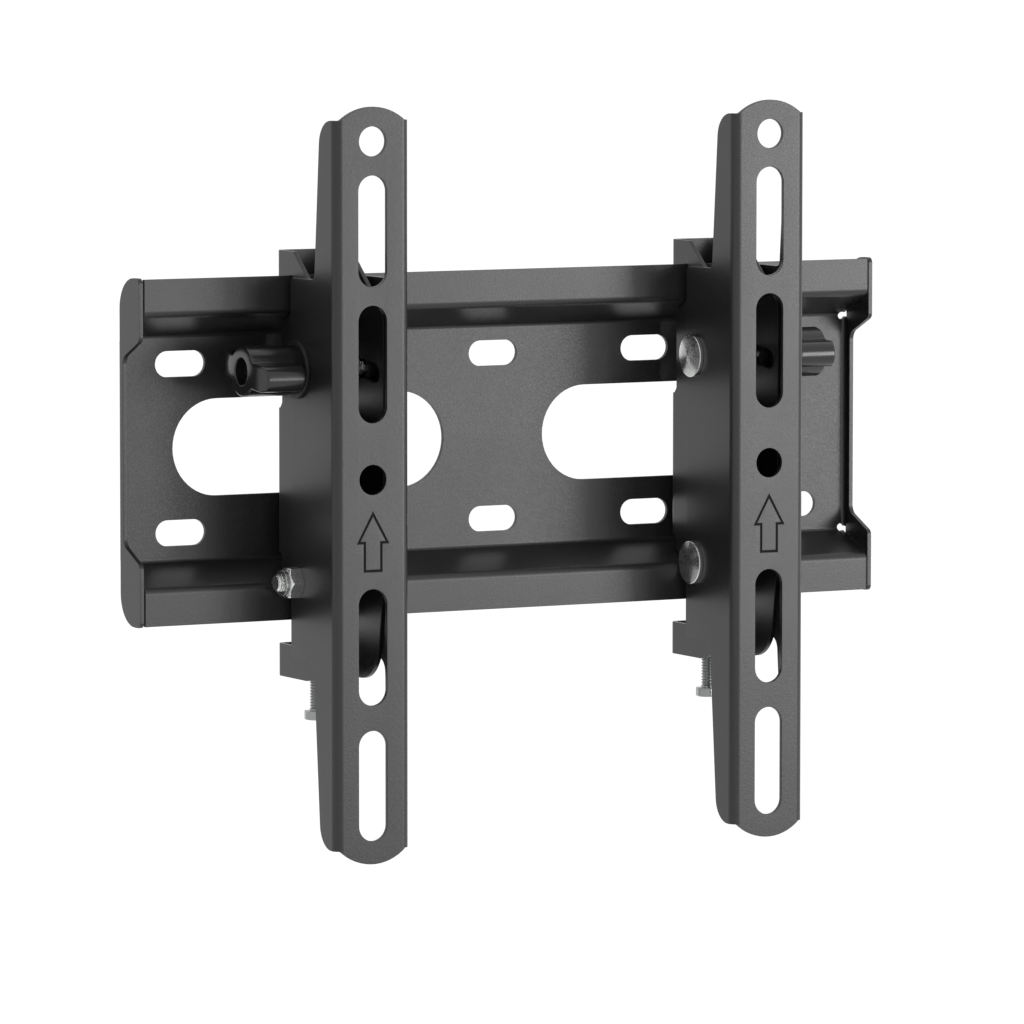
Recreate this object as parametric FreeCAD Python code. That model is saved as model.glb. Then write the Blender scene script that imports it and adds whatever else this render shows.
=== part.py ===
import FreeCAD, Part
import math
import os

# Tilting wall bracket for a television.
# One folded plate goes on the wall. Two hook brackets hang on its rails and slide along them.
# Each hook bracket carries one arm, which turns about the lower bolt and is held by the knob bolt.
# Frame in millimetres: X to the right seen from the front, Y towards the wall, Z up.
# The origin is the middle of the plate's back face, which lies on the wall.

# Sheet metal
sheet = 2.0
bend_inside = 2.0
bend_outside = bend_inside + sheet

# Wall plate
plate_width = 372.0
plate_height = 152.0
plate_depth = 23.0
panel_corner_z = 50.6
lip_corner_z = 60.4
rail_end_gap = 0.7
flange_depth = 6.3
flange_half_height = 48.4
ear_half_height = 76.5
ear_back_y = -3.2
ear_back_radius = 14.0
ear_front_radius = 2.5
ear_slope_low_z = 41.2
ear_slope_high_z = 49.1
relief_diameter = 3.6
relief_wall_gap = 0.15
wall_slot_length = 24.4
wall_slot_width = 11.5
wall_slot_pitch = 78.0
wall_slot_z = 37.3
window_length = 134.6
window_height = 43.0
window_x = 92.5

# Arms
arm_spacing = 200.0
arm_middle_x = 4.5
arm_width = 37.0
arm_front_y = -69.5
arm_back_y = -26.5
arm_tip_depth = 15.0
arm_shoulder_depth = 20.0
arm_top_z = 151.3
arm_top_shoulder_z = 145.4
arm_bottom_z = -180.4
arm_bottom_shoulder_z = -174.0
arm_arc_half_width = 15.9
arm_tip_radius = 11.0
arm_wide_top_z = 75.5
arm_wide_bottom_z = -92.5
tv_slot_width = 13.8
outer_slot_length = 48.6
outer_slots_z = (97.1, -145.9)
inner_slot_length = 51.2
inner_slots_z = (39.05, -84.95)
tv_hole_diameter = 13.1
tv_holes_z = (136.2, -11.4)
arrow_tip_z = -26.3
arrow_base_z = -38.9
arrow_foot_z = -51.3
arrow_head_half = 7.1
arrow_stem_half = 4.05
arrow_line = 0.95
arrow_cut = 0.45

# Hook brackets
plate_gap = 0.25
spacer_room = 3.25
bracket_left = -arm_width / 2 + sheet + plate_gap
bracket_right = arm_width / 2 - sheet - spacer_room
bracket_width = bracket_right - bracket_left
bracket_brow_start_y = -24.6
bracket_brow_slope = -0.84
spacer_diameter = 15.0
spacer_gap = 0.2
bracket_back_y = -7.5
raw_edge_y = -13.5
rail_front_gap = 0.6
rail_back_gap = 0.6
rail_seat_gap = 0.05
bracket_top_z = 86.7
hook_bottom_z = 64.5
middle_web_top_z = 17.0
middle_web_bottom_z = -47.0
foot_top_z = -87.5
foot_bottom_z = -102.0
bracket_front_y = -57.5
foot_radius = 18.0
tab_bend_inside = 0.8
tab_side_gap = 3.0
tab_relief_width = 0.9
tab_front_y = -27.0
boss_diameter = 8.6
boss_height = 3.0

# Bolts, nuts and screws
bolt_y = -32.7
pivot_z = -58.5
knob_z = 35.2
tilt_limit = 10.0
tilt_slot_spare = 0.4
bolt_diameter = 8.0
pivot_clearance = 0.05
slot_clearance = 0.3
dome_diameter = 19.4
dome_height = 3.3
dome_rim = 1.8
dome_edge_radius = 0.5
neck_side = 8.0
neck_length = 2.1
neck_clearance = 0.1
pivot_bolt_reach = 10.8
tilt_bolt_reach = 19.5
nut_flats = 13.0
nut_hex_height = 6.0
nut_height = 8.0
nut_collar_diameter = 11.8
nut_ring_diameter = 10.2
lock_y = -14.6
lock_diameter = 6.0
lock_head_flats = 10.0
lock_head_height = 4.0
lock_head_z = -118.0
lock_tip_z = -83.0
lock_clearance = 0.06

# Knob
washer_diameter = 25.6
washer_thickness = 1.6
knob_running_gap = 0.05
knob_start = washer_thickness + knob_running_gap
knob_length = 27.3
knob_hub_radius = 11.2
wing_radius = 5.8
wing_offset = 16.1
wing_start = 6.0
wing_root_radius = 2.5
wing_edge_radius = 1.0
knob_crown_flat = 8.0
knob_crown_drop = 2.6
knob_bore = 12.0
knob_nut_length = 17.0
knob_nut_gap = 0.02
thread_clearance = 0.05
left_knob_turn = -9.0
right_knob_turn = 0.0

vec = FreeCAD.Vector


def corner_arc(before, point, after, radius):
    """Tangent points and middle of the arc that rounds one corner of an outline."""
    a = (before[0] - point[0], before[1] - point[1])
    b = (after[0] - point[0], after[1] - point[1])
    la = math.hypot(a[0], a[1])
    lb = math.hypot(b[0], b[1])
    a = (a[0] / la, a[1] / la)
    b = (b[0] / lb, b[1] / lb)
    angle = math.acos(max(-1.0, min(1.0, a[0] * b[0] + a[1] * b[1])))
    reach = radius / math.tan(angle / 2)
    start = (point[0] + a[0] * reach, point[1] + a[1] * reach)
    end = (point[0] + b[0] * reach, point[1] + b[1] * reach)
    mid = (a[0] + b[0], a[1] + b[1])
    lm = math.hypot(mid[0], mid[1])
    far = radius / math.sin(angle / 2) - radius
    middle = (point[0] + mid[0] / lm * far, point[1] + mid[1] / lm * far)
    return start, middle, end


def rounded_wire(points, place):
    """Closed wire through (u, v, radius) corners; place turns (u, v) into a 3-D point."""
    spans = []
    count = len(points)
    for i in range(count):
        before = points[i - 1]
        point = points[i]
        after = points[(i + 1) % count]
        if point[2] > 0:
            spans.append(corner_arc(before, point, after, point[2]))
        else:
            spans.append((point[:2], None, point[:2]))
    edges = []
    for i in range(count):
        start, middle, end = spans[i]
        if middle is not None:
            edges.append(Part.Arc(place(*start), place(*middle), place(*end)).toShape())
        following = spans[(i + 1) % count][0]
        if math.hypot(following[0] - end[0], following[1] - end[1]) > 1e-6:
            edges.append(Part.makeLine(place(*end), place(*following)))
    return Part.Wire(Part.__sortEdges__(edges))


def in_yz(x):
    """Place for outlines drawn in the side view, at one X."""
    return lambda y, z: vec(x, y, z)


def in_xz(y):
    """Place for outlines drawn in the front view, at one Y."""
    return lambda x, z: vec(x, y, z)


def in_xy(z):
    """Place for outlines drawn from above, at one Z."""
    return lambda x, y: vec(x, y, z)


def prism(points, place, along):
    """Solid from a rounded outline, pushed along a vector."""
    return Part.Face(rounded_wire(points, place)).extrude(along)


def bent_outline(path, inside):
    """Outline of a sheet folded along a middle line, with concentric bend radii."""
    normals = []
    for first, second in zip(path, path[1:]):
        length = math.hypot(second[0] - first[0], second[1] - first[1])
        normals.append((-(second[1] - first[1]) / length, (second[0] - first[0]) / length))
    left = []
    right = []
    half = sheet / 2
    for i, point in enumerate(path):
        if i in (0, len(path) - 1):
            n = normals[0] if i == 0 else normals[-1]
            left.append((point[0] + n[0] * half, point[1] + n[1] * half, 0))
            right.append((point[0] - n[0] * half, point[1] - n[1] * half, 0))
            continue
        n1 = normals[i - 1]
        n2 = normals[i]
        scale = half / (1 + n1[0] * n2[0] + n1[1] * n2[1])
        offset = ((n1[0] + n2[0]) * scale, (n1[1] + n2[1]) * scale)
        turn = n1[0] * n2[1] - n1[1] * n2[0]
        left_radius = inside if turn > 0 else inside + sheet
        right_radius = inside + sheet if turn > 0 else inside
        left.append((point[0] + offset[0], point[1] + offset[1], left_radius))
        right.append((point[0] - offset[0], point[1] - offset[1], right_radius))
    return left + right[::-1]


def slot_cutter(x, z, length, width, upright, y_from, y_to):
    """Long hole with round ends, cut along Y."""
    half = width / 2
    run = (length - width) / 2
    if upright:
        a = vec(x - half, y_from, z - run)
        b = vec(x - half, y_from, z + run)
        c = vec(x, y_from, z + run + half)
        d = vec(x + half, y_from, z + run)
        e = vec(x + half, y_from, z - run)
        f = vec(x, y_from, z - run - half)
    else:
        a = vec(x - run, y_from, z + half)
        b = vec(x + run, y_from, z + half)
        c = vec(x + run + half, y_from, z)
        d = vec(x + run, y_from, z - half)
        e = vec(x - run, y_from, z - half)
        f = vec(x - run - half, y_from, z)
    wire = Part.Wire([
        Part.makeLine(a, b),
        Part.Arc(b, c, d).toShape(),
        Part.makeLine(d, e),
        Part.Arc(e, f, a).toShape(),
    ])
    return Part.Face(wire).extrude(vec(0, y_to - y_from, 0))


def cylinder_x(radius, x_from, x_to, y, z):
    """Round bar along X."""
    return Part.makeCylinder(radius, x_to - x_from, vec(x_from, y, z), vec(1, 0, 0))


def box(x0, x1, y0, y1, z0, z1):
    """Box between two corners."""
    return Part.makeBox(x1 - x0, y1 - y0, z1 - z0, vec(x0, y0, z0))


# Wall plate

def rail_section():
    """Side view of the plate: lip, slanted web, panel, slanted web, lip, in one sheet."""
    half = sheet / 2
    lip_y = -plate_depth + half
    top = plate_height / 2
    path = [
        (lip_y, top),
        (lip_y, lip_corner_z),
        (-half, panel_corner_z),
        (-half, -panel_corner_z),
        (lip_y, -lip_corner_z),
        (lip_y, -top),
    ]
    return bent_outline(path, bend_inside)


def ear_outline():
    """Side view of an end flange: shallow in the middle, with a stop ear at each rail."""
    upper = [
        (-flange_depth, ear_slope_low_z, 5.0),
        (-plate_depth, ear_slope_high_z, 3.0),
        (-plate_depth, ear_half_height, ear_front_radius),
        (ear_back_y, ear_half_height, ear_back_radius),
        (ear_back_y, flange_half_height, 0),
        (-bend_outside, flange_half_height, 0),
    ]
    lower = [(y, -z, r) for y, z, r in upper[::-1]]
    return upper + lower


def side_flange():
    """One end of the plate: the bend out of the panel and the flange with its two ears."""
    outer = plate_width / 2
    half = sheet / 2
    start = outer - bend_outside - 3.0
    path = [(start, -half), (outer - half, -half), (outer - half, -flange_depth)]
    strip = prism(
        bent_outline(path, bend_inside),
        in_xy(-flange_half_height),
        vec(0, 0, 2 * flange_half_height),
    )
    trim = prism(ear_outline(), in_yz(outer - sheet), vec(sheet, 0, 0))
    inner_part = strip.common(box(start - 1, outer - sheet, -9, 1, -80, 80))
    outer_part = strip.common(box(outer - sheet, outer + 1, -bend_outside, 1, -80, 80))
    return inner_part.fuse(outer_part).fuse(trim)


def make_wall_plate():
    """Folded wall plate with rails, end stops, screw slots and two windows."""
    outer = plate_width / 2
    rail_end = outer - sheet - rail_end_gap
    body = prism(rail_section(), in_yz(-rail_end), vec(2 * rail_end, 0, 0))
    bend_start = outer - bend_outside
    for sign in (-1, 1):
        x0, x1 = sorted((sign * bend_start, sign * (outer + 5)))
        body = body.cut(box(x0, x1, -6, 1, -flange_half_height, flange_half_height))
    flange = side_flange()
    body = body.fuse(flange)
    body = body.fuse(flange.mirror(vec(0, 0, 0), vec(1, 0, 0)))
    cutters = []
    for column in range(-2, 3):
        for row in (-1, 1):
            cutters.append(slot_cutter(
                column * wall_slot_pitch, row * wall_slot_z,
                wall_slot_length, wall_slot_width, False, 1, -3))
    for sign in (-1, 1):
        cutters.append(slot_cutter(sign * window_x, 0, window_length, window_height, False, 1, -3))
    relief = relief_diameter / 2
    for sign in (-1, 1):
        for row in (-1, 1):
            across = outer - sheet - relief - relief_wall_gap
            spot = vec(sign * across, 1, row * (flange_half_height + 0.6))
            cutters.append(Part.makeCylinder(relief, 5, spot, vec(0, -1, 0)))
    return body.cut(Part.makeCompound(cutters)).removeSplitter()


# Arms

def arm_side_outline():
    """Side view of an arm: shallow flanges at both ends, deep between the two shoulders."""
    clear = arm_front_y - 6
    bend = arm_front_y + 3.0
    tip = arm_front_y + arm_tip_depth - 0.4
    shoulder = arm_front_y + arm_shoulder_depth
    return [
        (clear, arm_bottom_z - 5, 0),
        (clear, arm_top_z + 5, 0),
        (bend, arm_top_z + 5, 0),
        (bend, arm_top_shoulder_z, 0),
        (tip, arm_top_shoulder_z, arm_tip_radius),
        (shoulder, arm_wide_top_z, 2.5),
        (arm_back_y, arm_wide_top_z, 3.0),
        (arm_back_y, arm_wide_bottom_z, 3.0),
        (shoulder + 1.2, arm_wide_bottom_z, 6.0),
        (tip, arm_bottom_shoulder_z, arm_tip_radius),
        (bend, arm_bottom_shoulder_z, 0),
        (bend, arm_bottom_z - 5, 0),
    ]


def arm_front_blank():
    """Front view of an arm: straight sides, an arc at each end and a small step beside it."""
    side = arm_width / 2 + 2
    arc = arm_arc_half_width
    top = arm_top_shoulder_z
    bottom = arm_bottom_shoulder_z
    place = in_xz(arm_front_y - 1)
    wire = Part.Wire([
        Part.makeLine(place(-side, bottom), place(-side, top)),
        Part.makeLine(place(-side, top), place(-arc, top)),
        Part.Arc(place(-arc, top), place(0, arm_top_z), place(arc, top)).toShape(),
        Part.makeLine(place(arc, top), place(side, top)),
        Part.makeLine(place(side, top), place(side, bottom)),
        Part.makeLine(place(side, bottom), place(arc, bottom)),
        Part.Arc(place(arc, bottom), place(0, arm_bottom_z), place(-arc, bottom)).toShape(),
        Part.makeLine(place(-arc, bottom), place(-side, bottom)),
    ])
    return Part.Face(wire).extrude(vec(0, 60, 0))


def arrow_groove():
    """Outline of an arrow pointing up, pressed into the arm's front."""
    def outline(grow):
        slope = math.hypot(arrow_tip_z - arrow_base_z, arrow_head_half) / arrow_head_half
        head = arrow_head_half + grow * 1.6
        stem = arrow_stem_half + grow
        tip = arrow_tip_z + grow * slope
        base = arrow_base_z - grow
        foot = arrow_foot_z - grow
        return [
            (0, tip, 0), (head, base, 0), (stem, base, 0), (stem, foot, 0),
            (-stem, foot, 0), (-stem, base, 0), (-head, base, 0),
        ]
    half = arrow_line / 2
    start = in_xz(arm_front_y - 1)
    deep = vec(0, 1 + arrow_cut, 0)
    return prism(outline(half), start, deep).cut(prism(outline(-half), start, deep))


def make_arm():
    """Channel arm, drawn with its outer side towards +X."""
    half = arm_width / 2
    middle = sheet / 2
    path = [
        (-half + middle, arm_back_y + 3),
        (-half + middle, arm_front_y + middle),
        (half - middle, arm_front_y + middle),
        (half - middle, arm_back_y + 3),
    ]
    length = arm_top_z - arm_bottom_z + 4
    channel = prism(bent_outline(path, bend_inside), in_xy(arm_bottom_z - 2), vec(0, 0, length))
    side = prism(arm_side_outline(), in_yz(-half - 2), vec(arm_width + 4, 0, 0))
    body = channel.common(side).common(arm_front_blank())
    front = arm_front_y - 1
    behind = arm_front_y + sheet + 1
    cutters = []
    for z in outer_slots_z:
        cutters.append(slot_cutter(0, z, outer_slot_length, tv_slot_width, True, front, behind))
    for z in inner_slots_z:
        cutters.append(slot_cutter(0, z, inner_slot_length, tv_slot_width, True, front, behind))
    for z in tv_holes_z:
        spot = vec(0, front, z)
        cutters.append(Part.makeCylinder(tv_hole_diameter / 2, behind - front, spot, vec(0, 1, 0)))
    neck = neck_side / 2 + neck_clearance
    hole = bolt_diameter / 2 + slot_clearance
    for z in (pivot_z, knob_z):
        cutters.append(box(-half - 1, -half + sheet + 1, bolt_y - neck, bolt_y + neck, z - neck, z + neck))
        cutters.append(cylinder_x(hole, half - sheet - 1, half + 1, bolt_y, z))
    body = body.cut(Part.makeCompound(cutters))
    return body.cut(arrow_groove()).removeSplitter()


# Hook brackets

def web_front_z(y):
    """Height of the slanted web's front face of the top rail at one Y."""
    drop = (lip_corner_z - panel_corner_z) / (plate_depth - sheet)
    turn = math.atan2(plate_depth - sheet, lip_corner_z - panel_corner_z)
    inner = panel_corner_z - math.tan(turn / 2) * sheet / 2
    return inner + drop * (-y - sheet)


def bracket_outline():
    """Side view of a hook bracket: hook over the top rail, gap for the bottom rail, foot."""
    beyond = bracket_back_y + 0.5
    front_of_lip = -plate_depth - rail_front_gap
    behind_lip = -plate_depth + sheet + rail_back_gap
    seat = plate_height / 2 + rail_seat_gap
    under = 1.1
    tangent = bracket_back_y - bend_outside
    brow_z = bracket_top_z + bracket_brow_slope * (bracket_brow_start_y - bracket_front_y)
    return [
        (beyond, bracket_top_z, 0),
        (bracket_brow_start_y, bracket_top_z, 0.8),
        (bracket_front_y, brow_z, 6.0),
        (bracket_front_y, pivot_z, 10.0),
        (-51.0, foot_bottom_z, foot_radius),
        (beyond, foot_bottom_z, 0),
        (beyond, foot_top_z, 0),
        (front_of_lip, foot_top_z, 2.0),
        (front_of_lip, -web_front_z(front_of_lip) + under, 1.5),
        (raw_edge_y, -web_front_z(raw_edge_y) + under, 0.6),
        (raw_edge_y, middle_web_bottom_z - 2.5, 0.6),
        (tangent, middle_web_bottom_z, 0),
        (beyond, middle_web_bottom_z, 0),
        (beyond, middle_web_top_z, 0),
        (tangent, middle_web_top_z, 0),
        (raw_edge_y, middle_web_top_z + 2.5, 0.6),
        (raw_edge_y, web_front_z(raw_edge_y) - under, 0.6),
        (front_of_lip, web_front_z(front_of_lip) - under, 1.5),
        (front_of_lip, seat, 0.8),
        (behind_lip, seat, 0.8),
        (behind_lip, hook_bottom_z, 2.0),
        (beyond, hook_bottom_z, 0),
    ]


def tilt_slot():
    """Curved slot that the knob bolt runs in while the arm tilts about the pivot."""
    radius = knob_z - pivot_z
    width = bolt_diameter / 2 + slot_clearance
    low = math.radians(-tilt_slot_spare)
    high = math.radians(tilt_limit + tilt_slot_spare)

    def at(distance, angle):
        return vec(-60, bolt_y - distance * math.sin(angle), pivot_z + distance * math.cos(angle))

    def beyond_end(angle, sign):
        centre = at(radius, angle)
        along = vec(0, -math.cos(angle) * sign * width, -math.sin(angle) * sign * width)
        return centre.add(along)

    middle = (low + high) / 2
    wire = Part.Wire([
        Part.Arc(at(radius + width, low), at(radius + width, middle),
                 at(radius + width, high)).toShape(),
        Part.Arc(at(radius + width, high), beyond_end(high, 1), at(radius - width, high)).toShape(),
        Part.Arc(at(radius - width, high), at(radius - width, middle),
                 at(radius - width, low)).toShape(),
        Part.Arc(at(radius - width, low), beyond_end(low, -1), at(radius + width, low)).toShape(),
    ])
    return Part.Face(wire).extrude(vec(120, 0, 0))


def foot_tab():
    """Bottom tab folded forward from the foot's back, with a raised collar for the lock screw."""
    half = sheet / 2
    wide = bracket_width - 2 * sheet - 2 * tab_side_gap
    path = [
        (bracket_back_y - half, foot_bottom_z + 8.0),
        (bracket_back_y - half, foot_bottom_z + half),
        (tab_front_y, foot_bottom_z + half),
    ]
    start = bracket_left + sheet + tab_side_gap
    tab = prism(bent_outline(path, tab_bend_inside), in_yz(start), vec(wide, 0, 0))
    collar = Part.makeCylinder(
        boss_diameter / 2, sheet + boss_height, vec(0, lock_y, foot_bottom_z))
    return tab.fuse(collar)


def make_hook_bracket():
    """Folded hook bracket that hangs on the rails between the arm's flanges."""
    left = bracket_left + sheet / 2
    right = bracket_right - sheet / 2
    back = bracket_back_y - sheet / 2
    front = bracket_front_y - 2
    path = [(left, front), (left, back), (right, back), (right, front)]
    length = bracket_top_z - foot_bottom_z + 4
    channel = prism(bent_outline(path, bend_inside), in_xy(foot_bottom_z - 2), vec(0, 0, length))
    side = prism(bracket_outline(), in_yz(bracket_left - 2), vec(bracket_width + 4, 0, 0))
    body = channel.common(side)
    inner = sheet + tab_side_gap - tab_relief_width
    body = body.cut(box(bracket_left + inner, bracket_right - inner, bracket_back_y - 6,
                        bracket_back_y + 1, foot_bottom_z - 1, foot_bottom_z + 6.0))
    body = body.fuse(foot_tab())
    pivot = bolt_diameter / 2 + pivot_clearance
    body = body.cut(cylinder_x(pivot, -60, 60, bolt_y, pivot_z))
    body = body.cut(tilt_slot())
    screw = lock_diameter / 2 + lock_clearance
    body = body.cut(Part.makeCylinder(screw, 12, vec(0, lock_y, foot_bottom_z - 2)))
    return body.removeSplitter()


def make_spacer(z):
    """Plain ring on a bolt that fills the room between the bracket and the arm's right flange."""
    start = bracket_right + spacer_gap
    end = arm_width / 2 - sheet - (neck_length - sheet) - 0.05
    ring = cylinder_x(spacer_diameter / 2, start, end, bolt_y, z)
    return ring.cut(cylinder_x(bolt_diameter / 2 + slot_clearance, start - 1, end + 1, bolt_y, z))


# Bolts, nuts and screws, drawn with the arm's outer side towards +X

def hexagon(flats, height, x_start, y, z):
    """Six-sided bar along X with two flats upright."""
    corner = flats / math.sqrt(3)
    points = []
    for i in range(6):
        angle = math.radians(60 * i + 30)
        points.append(vec(x_start, y + corner * math.sin(angle), z + corner * math.cos(angle)))
    face = Part.Face(Part.makePolygon(points + [points[0]]))
    return face.extrude(vec(height, 0, 0))


def make_dome_bolt(z, reach):
    """Bolt with a low round head on the inner flange, a square neck and a round shank."""
    start = -arm_width / 2
    cap = dome_height - dome_rim
    rise = dome_diameter / 2
    radius = (rise ** 2 + cap ** 2) / (2 * cap)
    edge = start - dome_rim
    arc_angle = math.asin(rise / radius) / 2
    middle_x = edge - cap + radius - radius * math.cos(arc_angle)
    middle_r = radius * math.sin(arc_angle)
    wire = Part.Wire([
        Part.makeLine(vec(start, bolt_y, z), vec(start, bolt_y, z + rise)),
        Part.makeLine(vec(start, bolt_y, z + rise), vec(edge, bolt_y, z + rise)),
        Part.Arc(vec(edge, bolt_y, z + rise), vec(middle_x, bolt_y, z + middle_r),
                 vec(edge - cap, bolt_y, z)).toShape(),
        Part.makeLine(vec(edge - cap, bolt_y, z), vec(start, bolt_y, z)),
    ])
    head = Part.Face(wire).revolve(vec(0, bolt_y, z), vec(1, 0, 0), 360)
    for rim in head.Edges:
        if abs(rim.BoundBox.XMin - edge) < 0.001 and rim.BoundBox.XLength < 0.001:
            head = head.makeFillet(dome_edge_radius, [rim])
            break
    side = neck_side / 2
    neck = box(start - 0.2, start + neck_length, bolt_y - side, bolt_y + side, z - side, z + side)
    end = arm_width / 2 + reach
    shank = cylinder_x(bolt_diameter / 2, start - 0.2, end, bolt_y, z)
    tip = shank.Edges[0]
    for edge_item in shank.Edges:
        if edge_item.BoundBox.XMin > end - 0.01:
            tip = edge_item
    shank = shank.makeChamfer(0.8, [tip])
    return head.fuse(neck).fuse(shank).removeSplitter()


def make_pivot_nut():
    """Lock nut with a six-sided body and a round collar."""
    start = arm_width / 2
    body = hexagon(nut_flats, nut_hex_height, start, bolt_y, pivot_z)
    across = nut_flats / math.sqrt(3)
    wide = cylinder_x(across + 0.15, start, start + nut_hex_height - 1.0, bolt_y, pivot_z)
    cone = Part.makeCone(across + 0.15, nut_flats / 2 - 0.1, 1.0,
                         vec(start + nut_hex_height - 1.0, bolt_y, pivot_z), vec(1, 0, 0))
    body = body.common(wide.fuse(cone))
    collar = cylinder_x(nut_collar_diameter / 2, start + nut_hex_height - 0.5,
                        start + nut_height, bolt_y, pivot_z)
    body = body.fuse(collar)
    bore = cylinder_x(bolt_diameter / 2 + thread_clearance, start - 1, start + nut_height + 1,
                      bolt_y, pivot_z)
    seat = cylinder_x(nut_ring_diameter / 2, start + nut_height - 2.0, start + nut_height - 0.4,
                      bolt_y, pivot_z)
    return body.cut(bore).cut(seat).removeSplitter()


def make_nut_ring():
    """Plastic ring held in the lock nut's collar."""
    start = arm_width / 2 + nut_height - 2.0
    ring = cylinder_x(nut_ring_diameter / 2, start, start + 1.6, bolt_y, pivot_z)
    return ring.cut(cylinder_x(bolt_diameter / 2 + thread_clearance, start - 1, start + 3,
                               bolt_y, pivot_z))


def make_lock_screw():
    """Six-sided screw under the foot tab; its tip goes up behind the bottom rail's lip."""
    corner = lock_head_flats / math.sqrt(3)
    points = []
    for i in range(6):
        angle = math.radians(60 * i + 12)
        points.append(vec(corner * math.cos(angle), lock_y + corner * math.sin(angle), lock_head_z))
    head = Part.Face(Part.makePolygon(points + [points[0]])).extrude(vec(0, 0, -lock_head_height))
    cone = Part.makeCone(lock_head_flats / 2 - 0.1, corner + 0.1, 0.9,
                         vec(0, lock_y, lock_head_z - lock_head_height))
    wide = Part.makeCylinder(corner + 0.1, lock_head_height,
                             vec(0, lock_y, lock_head_z - lock_head_height + 0.9))
    head = head.common(cone.fuse(wide))
    shank = Part.makeCylinder(lock_diameter / 2, lock_tip_z - lock_head_z + 0.5,
                              vec(0, lock_y, lock_head_z - 0.5))
    for edge_item in shank.Edges:
        if edge_item.BoundBox.ZMin > lock_tip_z - 0.01:
            shank = shank.makeChamfer(0.8, [edge_item])
            break
    return head.fuse(shank).removeSplitter()


# Knob, drawn with the arm's outer side towards +X

def make_knob_washer():
    """Flat friction washer between the knob and the arm."""
    start = arm_width / 2
    disc = cylinder_x(washer_diameter / 2, start, start + washer_thickness, bolt_y, knob_z)
    hole = bolt_diameter / 2 + slot_clearance
    return disc.cut(cylinder_x(hole, start - 1, start + 5, bolt_y, knob_z))


def knob_outline(x, turn):
    """End view of the knob: a round hub with a wing on each side and a rounded root between."""
    angle = math.radians(turn)
    root_v = wing_radius + wing_root_radius
    reach = knob_hub_radius + wing_root_radius
    root_u = math.sqrt(reach ** 2 - root_v ** 2)
    share = knob_hub_radius / reach
    touch_u = root_u * share
    touch_v = root_v * share
    hub_way = math.atan2(touch_v - root_v, touch_u - root_u) % (2 * math.pi)
    middle_way = (hub_way + 1.5 * math.pi) / 2
    inner_u = root_u + wing_root_radius * math.cos(middle_way)
    inner_v = root_v + wing_root_radius * math.sin(middle_way)

    def at(u, v):
        return vec(
            x,
            bolt_y - u * math.cos(angle) - v * math.sin(angle),
            knob_z + u * math.sin(angle) - v * math.cos(angle),
        )

    edges = []
    for side in (1, -1):
        edges.append(Part.Arc(at(side * wing_offset, -side * wing_radius),
                              at(side * (wing_offset + wing_radius), 0),
                              at(side * wing_offset, side * wing_radius)).toShape())
        for flank in (1, -1):
            v = flank * wing_radius
            edges.append(Part.makeLine(at(side * wing_offset, v), at(side * root_u, v)))
            edges.append(Part.Arc(at(side * root_u, v), at(side * inner_u, flank * inner_v),
                                  at(side * touch_u, flank * touch_v)).toShape())
        edges.append(Part.Arc(at(touch_u, side * touch_v), at(0, side * knob_hub_radius),
                              at(-touch_u, side * touch_v)).toShape())
    return Part.Wire(Part.__sortEdges__(edges))


def crowned_bar(seam_turn):
    """Round solid about the knob's axis whose outer end is crowned; its seam is turned away."""
    start = arm_width / 2
    end = start + knob_length
    rim = wing_offset + wing_radius + 1.0
    middle = (knob_crown_flat + rim) / 2
    wire = Part.Wire([
        Part.makeLine(vec(start, bolt_y, knob_z), vec(start, bolt_y, knob_z + rim)),
        Part.makeLine(vec(start, bolt_y, knob_z + rim),
                      vec(end - knob_crown_drop, bolt_y, knob_z + rim)),
        Part.Arc(vec(end - knob_crown_drop, bolt_y, knob_z + rim),
                 vec(end - knob_crown_drop * 0.26, bolt_y, knob_z + middle),
                 vec(end, bolt_y, knob_z + knob_crown_flat)).toShape(),
        Part.makeLine(vec(end, bolt_y, knob_z + knob_crown_flat), vec(end, bolt_y, knob_z)),
        Part.makeLine(vec(end, bolt_y, knob_z), vec(start, bolt_y, knob_z)),
    ])
    bar = Part.Face(wire).revolve(vec(0, bolt_y, knob_z), vec(1, 0, 0), 360)
    bar.rotate(vec(0, bolt_y, knob_z), vec(1, 0, 0), seam_turn)
    return bar


def make_knob(turn):
    """Hand knob: a hub with two wings, a crowned end and a bore for its threaded insert."""
    start = arm_width / 2 + knob_start
    end = arm_width / 2 + knob_length
    first = arm_width / 2 + wing_start
    wings = Part.Face(knob_outline(first, turn)).extrude(vec(end - first + 1, 0, 0))
    wings = wings.common(crowned_bar(turn + 20))
    rims = []
    for edge_item in wings.Edges:
        box_item = edge_item.BoundBox
        if box_item.XMax < first + 0.01 or box_item.XMin > end - knob_crown_drop - 0.5:
            if box_item.XLength < 2.6 and not (box_item.XMin > end - 0.01):
                rims.append(edge_item)
    wings = wings.makeFillet(wing_edge_radius, rims)
    hub = cylinder_x(knob_hub_radius, start, first + 2, bolt_y, knob_z)
    bore = cylinder_x(knob_bore / 2, start - 1, end + 1, bolt_y, knob_z)
    return wings.fuse(hub).cut(bore).removeSplitter()


def make_knob_nut():
    """Threaded metal insert pressed into the knob."""
    start = arm_width / 2 + knob_start + 0.2
    outer = cylinder_x(knob_bore / 2 - knob_nut_gap, start, start + knob_nut_length, bolt_y, knob_z)
    bore = cylinder_x(bolt_diameter / 2 + thread_clearance, start - 1, start + knob_nut_length + 1,
                      bolt_y, knob_z)
    return outer.cut(bore)


def save(name, shape):
    """Write one sub-part to its own file and report it."""
    shape.exportStep("parts/" + name + ".step")
    size = shape.optimalBoundingBox()
    print(name, "valid", shape.isValid(), "solids", len(shape.Solids),
          "box %.1f %.1f %.1f" % (size.XLength, size.YLength, size.ZLength))


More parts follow.
